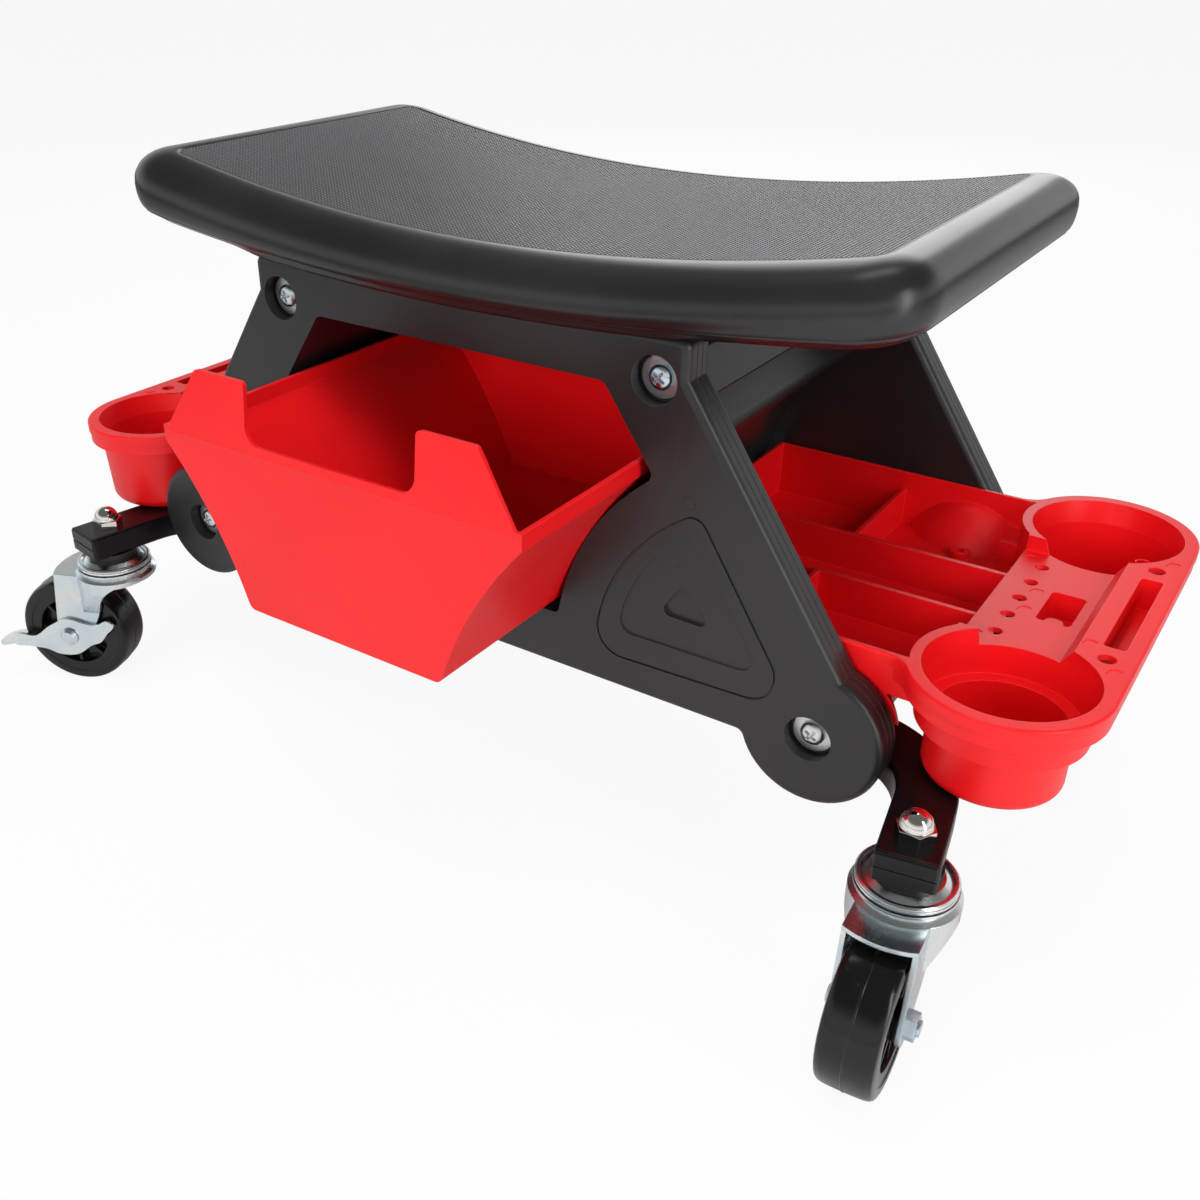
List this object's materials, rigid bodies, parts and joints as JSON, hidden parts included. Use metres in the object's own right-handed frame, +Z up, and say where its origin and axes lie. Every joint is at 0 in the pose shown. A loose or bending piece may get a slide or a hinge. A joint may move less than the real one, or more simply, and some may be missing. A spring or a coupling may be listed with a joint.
{
  "type": "workshop stool",
  "caption": "Low rolling mechanic's stool with a saddle-shaped seat, sliding drawer, two divided side trays with cup wells, and splayed arms on swivel casters.",
  "frame": {"origin": "on the floor under the middle of the seat and of the two side frames", "axes": "+X along the long side through the two trays, +Z up, the drawer opens towards -Y"},
  "size_m": [0.7174, 0.4648, 0.3689],
  "materials": {
    "black_hdpe": "satin moulded black, fine weave on the seat",
    "red_plastic": "satin moulded red",
    "black_coat": "glossy black powder coat",
    "zinc": "bright zinc plate, bluish",
    "nickel": "polished nickel",
    "black_plug": "moulded black",
    "wheel_plastic": "smooth moulded black, semi gloss"
  },
  "bodies": {
    "stool": {"seat": "black_hdpe", "side_frame_front": "black_hdpe", "side_frame_back": "black_hdpe", "upper_tube_right": "black_coat", "upper_tube_left": "black_coat", "lower_tube_right": "black_coat", "lower_tube_left": "black_coat", "frame_screws": "zinc", "frame_washers": "zinc", "drawer_housing": "black_hdpe", "tray_right": "red_plastic", "tray_left": "red_plastic", "arm_plugs": "black_plug", "cap_nuts": "nickel", "kingpin_races": "zinc", "seal_washers": "black_plug", "caster_arm_front_right": "black_coat", "caster_arm_front_left": "black_coat", "caster_arm_back_left": "black_coat", "caster_arm_back_right": "black_coat"},
    "drawer": {"drawer": "red_plastic"},
    "caster_front_right": {"fork_front_right": "zinc", "axle_bolt_front_right": "zinc", "axle_nut_front_right": "zinc"},
    "wheel_front_right": {"wheel_front_right": "wheel_plastic", "wheel_bush_front_right": "zinc"},
    "caster_front_left": {"fork_front_left": "zinc", "axle_bolt_front_left": "zinc", "axle_nut_front_left": "zinc"},
    "wheel_front_left": {"wheel_front_left": "wheel_plastic", "wheel_bush_front_left": "zinc"},
    "brake_front_left": {"brake_lever_front_left": "zinc"},
    "caster_back_left": {"fork_back_left": "zinc", "axle_bolt_back_left": "zinc", "axle_nut_back_left": "zinc"},
    "wheel_back_left": {"wheel_back_left": "wheel_plastic", "wheel_bush_back_left": "zinc"},
    "caster_back_right": {"fork_back_right": "zinc", "axle_bolt_back_right": "zinc", "axle_nut_back_right": "zinc"},
    "wheel_back_right": {"wheel_back_right": "wheel_plastic", "wheel_bush_back_right": "zinc"},
    "brake_back_right": {"brake_lever_back_right": "zinc"}
  },
  "joints": [
    {"name": "drawer_slide", "type": "slide", "parent": "stool", "child": "drawer", "axis": [0, -1, 0], "range_m": [-0.098, 0.07]},
    {"name": "swivel_front_right", "type": "hinge", "parent": "stool", "child": "caster_front_right", "pos_m": [0.286, -0.159, 0.09], "axis": [0, 0, 1], "continuous": true},
    {"name": "roll_front_right", "type": "hinge", "parent": "caster_front_right", "child": "wheel_front_right", "pos_m": [0.28834, -0.19242, 0.04], "axis": [0.9976, 0.0698, 0], "continuous": true},
    {"name": "swivel_front_left", "type": "hinge", "parent": "stool", "child": "caster_front_left", "pos_m": [-0.286, -0.159, 0.09], "axis": [0, 0, 1], "continuous": true},
    {"name": "roll_front_left", "type": "hinge", "parent": "caster_front_left", "child": "wheel_front_left", "pos_m": [-0.31684, -0.17209, 0.04], "axis": [0.3907, -0.9205, 0], "continuous": true},
    {"name": "brake_front_left", "type": "hinge", "parent": "caster_front_left", "child": "brake_front_left", "pos_m": [-0.31684, -0.17209, 0.04], "axis": [0.3907, -0.9205, 0], "range_deg": [-12, 4]},
    {"name": "swivel_back_left", "type": "hinge", "parent": "stool", "child": "caster_back_left", "pos_m": [-0.286, 0.159, 0.09], "axis": [0, 0, 1], "continuous": true},
    {"name": "roll_back_left", "type": "hinge", "parent": "caster_back_left", "child": "wheel_back_left", "pos_m": [-0.28834, 0.19242, 0.04], "axis": [-0.9976, -0.0698, 0], "continuous": true},
    {"name": "swivel_back_right", "type": "hinge", "parent": "stool", "child": "caster_back_right", "pos_m": [0.286, 0.159, 0.09], "axis": [0, 0, 1], "continuous": true},
    {"name": "roll_back_right", "type": "hinge", "parent": "caster_back_right", "child": "wheel_back_right", "pos_m": [0.25642, 0.17473, 0.04], "axis": [-0.4695, -0.8829, 0], "continuous": true},
    {"name": "brake_back_right", "type": "hinge", "parent": "caster_back_right", "child": "brake_back_right", "pos_m": [0.25642, 0.17473, 0.04], "axis": [-0.4695, -0.8829, 0], "range_deg": [-12, 4]}
  ]
}
